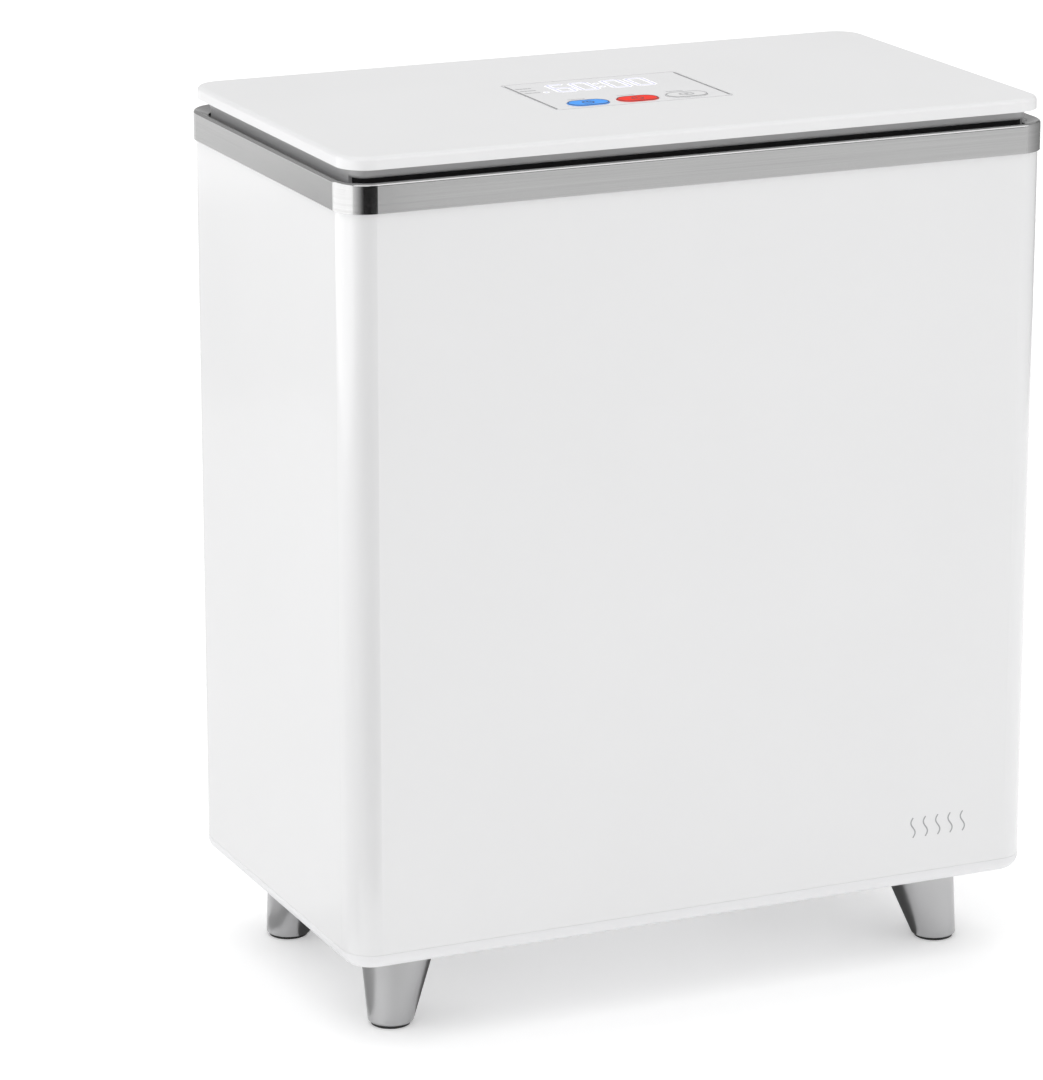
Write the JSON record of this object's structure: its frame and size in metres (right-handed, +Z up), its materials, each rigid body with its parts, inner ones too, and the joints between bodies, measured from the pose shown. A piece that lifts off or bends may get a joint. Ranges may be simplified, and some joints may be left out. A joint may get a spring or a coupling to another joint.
{
  "type": "hot towel cabinet",
  "caption": "Upright white towel-warming cabinet on splayed tapered legs, with a brushed steel rim, a hinged top lid with a lit control panel and push buttons, and a heated bucket inside.",
  "frame": {"origin": "on the floor, under the middle of the cabinet", "axes": "+Z up, +Y from the front panel towards the hinged rear, +X to the right seen from the front"},
  "size_m": [0.4226, 0.2406, 0.5004],
  "materials": {
    "white_enamel": "smooth satin-gloss white powder coat",
    "white_gloss": "smooth white moulded plastic",
    "white_plastic": "white moulded plastic, fine satin",
    "panel_plastic": "translucent white fascia with printed marks",
    "brushed_steel": "brushed along the band",
    "satin_aluminium": "satin, bead blasted and clear anodised",
    "bucket_aluminium": "clear anodised, satin, deep drawn",
    "liner_aluminium": "clear anodised, satin",
    "grey_plastic": "mid-grey moulded plastic",
    "black_plastic": "black moulded plastic",
    "black_rubber": "matt black rubber",
    "seal_rubber": "soft black silicone",
    "zinc_steel": "zinc plated",
    "hinge_steel": "plain stainless, pressed",
    "insulation": "glass fibre felt",
    "heater_silicone": "silicone heating mat",
    "heater_plate": "foil faced heating plate",
    "electrical_metal": "tinned can",
    "circuit_board": "green solder mask",
    "component_plastic": "moulded black",
    "display_plastic": "diffusing light guide",
    "lead_insulation": "silicone insulated wire",
    "button_blue": "gloss moulded, printed symbol",
    "button_red": "gloss moulded, printed symbol",
    "button_white": "gloss moulded, printed outline and symbol",
    "felt": "white needled felt"
  },
  "bodies": {
    "cabinet": {"body_shell": "white_enamel", "base_tray": "white_plastic", "tray_screws": "zinc_steel", "trim_ring": "brushed_steel", "inner_bucket": "bucket_aluminium", "wall_heater": "heater_silicone", "floor_heater": "heater_plate", "insulation_wrap": "insulation", "insulation_floor": "insulation", "thermostat": "electrical_metal", "thermal_fuse": "electrical_metal", "temperature_sensor": "electrical_metal", "power_board": "circuit_board", "board_screws": "zinc_steel", "transformer": "component_plastic", "relay": "component_plastic", "terminal_block": "component_plastic", "heater_leads": "lead_insulation", "cord_gland": "black_rubber", "leg_front_left": "satin_aluminium", "leg_front_right": "satin_aluminium", "leg_rear_left": "satin_aluminium", "leg_rear_right": "satin_aluminium", "leg_studs": "zinc_steel", "foot_pad_front_left": "black_rubber", "foot_pad_front_right": "black_rubber", "foot_pad_rear_left": "black_rubber", "foot_pad_rear_right": "black_rubber", "hinge_bracket_left": "hinge_steel", "hinge_bracket_right": "hinge_steel", "hinge_pin_left": "hinge_steel", "hinge_pin_right": "hinge_steel", "bracket_rivets": "hinge_steel"},
    "lid": {"lid_top": "white_gloss", "lid_base": "grey_plastic", "lid_screws": "zinc_steel", "lid_plug": "black_plastic", "lid_insulation": "insulation", "lid_liner": "liner_aluminium", "plug_screws": "zinc_steel", "lid_seal": "seal_rubber", "control_panel": "panel_plastic", "control_board": "circuit_board", "touch_switches": "component_plastic", "display_module": "display_plastic", "hinge_leaf_left": "hinge_steel", "hinge_leaf_right": "hinge_steel", "leaf_rivets": "hinge_steel", "scent_housing": "white_plastic"},
    "blue_button": {"button_blue": "button_blue"},
    "red_button": {"button_red": "button_red"},
    "white_button": {"button_white": "button_white"},
    "scent_drawer": {"scent_tray": "grey_plastic", "scent_pad": "felt"}
  },
  "joints": [
    {"name": "lid_hinge", "type": "hinge", "parent": "cabinet", "child": "lid", "pos_m": [0, 0.1165, 0.48975], "axis": [-1, 0, 0], "range_deg": [0, 95]},
    {"name": "blue_button_press", "type": "slide", "parent": "lid", "child": "blue_button", "axis": [0, 0, -1], "range_m": [0, 0.0006], "stiffness_N_per_m": 2000},
    {"name": "red_button_press", "type": "slide", "parent": "lid", "child": "red_button", "axis": [0, 0, -1], "range_m": [0, 0.0006], "stiffness_N_per_m": 2000},
    {"name": "white_button_press", "type": "slide", "parent": "lid", "child": "white_button", "axis": [0, 0, -1], "range_m": [0, 0.0006], "stiffness_N_per_m": 2000},
    {"name": "scent_drawer_slide", "type": "slide", "parent": "lid", "child": "scent_drawer", "axis": [0, -1, 0], "range_m": [0, 0.045]}
  ]
}
